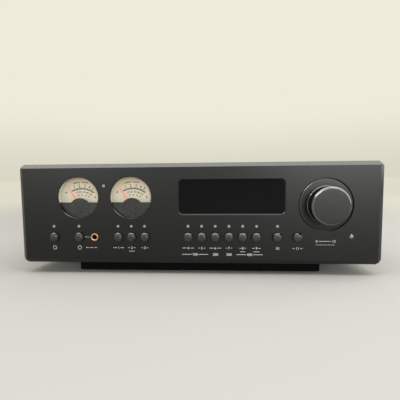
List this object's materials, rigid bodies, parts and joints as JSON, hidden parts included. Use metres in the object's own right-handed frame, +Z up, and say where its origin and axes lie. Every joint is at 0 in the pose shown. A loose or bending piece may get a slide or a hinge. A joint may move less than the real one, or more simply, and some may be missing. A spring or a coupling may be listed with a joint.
{
  "type": "stereo preamplifier",
  "caption": "Free-standing stereo preamplifier in a dark aluminium case: needle meters, display window, domed push buttons, pressing volume knob, sockets at the back.",
  "frame": {"origin": "middle of the footprint, on the surface that the feet stand on", "axes": "+X to the right seen from the front, +Y from the front into the case, +Z up"},
  "size_m": [0.32, 0.367, 0.1],
  "materials": {
    "case_aluminium": "fine-blasted, dark grey anodised",
    "steel_sheet": "zinc-plated sheet",
    "black_plinth": "black powder coat",
    "foot_rubber": "matt black rubber",
    "button_metal": "turned, dark grey anodised",
    "knob_metal": "turned, dark grey anodised with a bright bevel",
    "window_black": "polished black window",
    "meter_glass": "clear, polished",
    "dial_card": "printed ivory card",
    "mask_black": "gloss black",
    "needle_red": "red lacquer",
    "black_moulding": "moulded, matt black",
    "white_moulding": "moulded, warm white, lit from inside",
    "lens_clear": "frosted clear rod",
    "socket_gold": "gold plated",
    "circuit_board": "green solder mask",
    "magnet_steel": "plated steel and magnet",
    "transformer_core": "wound core wrapped in black tape",
    "capacitor_sleeve": "shrunk black sleeve",
    "nut_steel": "nickel plated",
    "screw_steel": "black zinc",
    "socket_steel": "satin nickel"
  },
  "bodies": {
    "case": {"front_panel": "case_aluminium", "left_side_panel": "case_aluminium", "right_side_panel": "case_aluminium", "top_cover": "case_aluminium", "bottom_plate": "steel_sheet", "rear_panel": "case_aluminium", "base_plinth": "black_plinth", "rubber_feet": "foot_rubber", "corner_brackets": "steel_sheet", "display_window": "window_black", "display_module": "black_moulding", "meter_masks": "mask_black", "meter_movements": "magnet_steel", "meter_board": "circuit_board", "button_switches": "black_moulding", "control_board": "circuit_board", "indicator_lenses": "lens_clear", "sensor_lens": "lens_clear", "headphone_ring": "socket_gold", "headphone_socket": "black_moulding", "knob_surround": "knob_metal", "encoder_body": "magnet_steel", "encoder_nut": "nut_steel", "main_board": "circuit_board", "power_board": "circuit_board", "board_spacers": "nut_steel", "filter_capacitors": "capacitor_sleeve", "transformer": "transformer_core", "transformer_clamp": "steel_sheet", "screen_wall": "steel_sheet", "phono_sockets": "socket_gold", "balanced_outputs": "socket_steel", "balanced_inputs": "black_moulding", "link_sockets": "black_moulding", "mains_inlet": "black_moulding", "case_screws": "screw_steel", "left_meter_window": "meter_glass", "left_meter_housing": "white_moulding", "left_meter_dial": "dial_card", "right_meter_window": "meter_glass", "right_meter_housing": "white_moulding", "right_meter_dial": "dial_card"},
    "button_1": {"push_button_1": "button_metal"},
    "button_2": {"push_button_2": "button_metal"},
    "button_3": {"push_button_3": "button_metal"},
    "button_4": {"push_button_4": "button_metal"},
    "button_5": {"push_button_5": "button_metal"},
    "button_6": {"push_button_6": "button_metal"},
    "button_7": {"push_button_7": "button_metal"},
    "button_8": {"push_button_8": "button_metal"},
    "button_9": {"push_button_9": "button_metal"},
    "button_10": {"push_button_10": "button_metal"},
    "button_11": {"push_button_11": "button_metal"},
    "button_12": {"push_button_12": "button_metal"},
    "button_13": {"push_button_13": "button_metal"},
    "selector": {"encoder_plunger": "black_moulding"},
    "volume": {"volume_knob": "knob_metal", "encoder_shaft": "nut_steel"},
    "left_needle": {"left_meter_needle": "needle_red"},
    "right_needle": {"right_meter_needle": "needle_red"}
  },
  "joints": [
    {"name": "button_1_press", "type": "slide", "parent": "case", "child": "button_1", "axis": [0, 1, 0], "range_m": [0, 0.0008], "stiffness_N_per_m": 1500, "springref_m": -0.0002},
    {"name": "button_2_press", "type": "slide", "parent": "case", "child": "button_2", "axis": [0, 1, 0], "range_m": [0, 0.0008], "stiffness_N_per_m": 1500, "springref_m": -0.0002},
    {"name": "button_3_press", "type": "slide", "parent": "case", "child": "button_3", "axis": [0, 1, 0], "range_m": [0, 0.0008], "stiffness_N_per_m": 1500, "springref_m": -0.0002},
    {"name": "button_4_press", "type": "slide", "parent": "case", "child": "button_4", "axis": [0, 1, 0], "range_m": [0, 0.0008], "stiffness_N_per_m": 1500, "springref_m": -0.0002},
    {"name": "button_5_press", "type": "slide", "parent": "case", "child": "button_5", "axis": [0, 1, 0], "range_m": [0, 0.0008], "stiffness_N_per_m": 1500, "springref_m": -0.0002},
    {"name": "button_6_press", "type": "slide", "parent": "case", "child": "button_6", "axis": [0, 1, 0], "range_m": [0, 0.0008], "stiffness_N_per_m": 1500, "springref_m": -0.0002},
    {"name": "button_7_press", "type": "slide", "parent": "case", "child": "button_7", "axis": [0, 1, 0], "range_m": [0, 0.0008], "stiffness_N_per_m": 1500, "springref_m": -0.0002},
    {"name": "button_8_press", "type": "slide", "parent": "case", "child": "button_8", "axis": [0, 1, 0], "range_m": [0, 0.0008], "stiffness_N_per_m": 1500, "springref_m": -0.0002},
    {"name": "button_9_press", "type": "slide", "parent": "case", "child": "button_9", "axis": [0, 1, 0], "range_m": [0, 0.0008], "stiffness_N_per_m": 1500, "springref_m": -0.0002},
    {"name": "button_10_press", "type": "slide", "parent": "case", "child": "button_10", "axis": [0, 1, 0], "range_m": [0, 0.0008], "stiffness_N_per_m": 1500, "springref_m": -0.0002},
    {"name": "button_11_press", "type": "slide", "parent": "case", "child": "button_11", "axis": [0, 1, 0], "range_m": [0, 0.0008], "stiffness_N_per_m": 1500, "springref_m": -0.0002},
    {"name": "button_12_press", "type": "slide", "parent": "case", "child": "button_12", "axis": [0, 1, 0], "range_m": [0, 0.0008], "stiffness_N_per_m": 1500, "springref_m": -0.0002},
    {"name": "button_13_press", "type": "slide", "parent": "case", "child": "button_13", "axis": [0, 1, 0], "range_m": [0, 0.0008], "stiffness_N_per_m": 1500, "springref_m": -0.0002},
    {"name": "volume_press", "type": "slide", "parent": "case", "child": "selector", "axis": [0, 1, 0], "range_m": [0, 0.0005], "stiffness_N_per_m": 6000, "springref_m": -0.0002},
    {"name": "volume_turn", "type": "hinge", "parent": "selector", "child": "volume", "pos_m": [0.112, -0.17, 0.0629], "axis": [0, 1, 0], "continuous": true},
    {"name": "left_needle_swing", "type": "hinge", "parent": "case", "child": "left_needle", "pos_m": [-0.106, -0.17, 0.0591], "axis": [0, 1, 0], "range_deg": [-12, 74], "stiffness_Nm_per_rad": 0.00002},
    {"name": "right_needle_swing", "type": "hinge", "parent": "case", "child": "right_needle", "pos_m": [-0.058, -0.17, 0.0591], "axis": [0, 1, 0], "range_deg": [-12, 74], "stiffness_Nm_per_rad": 0.00002}
  ]
}
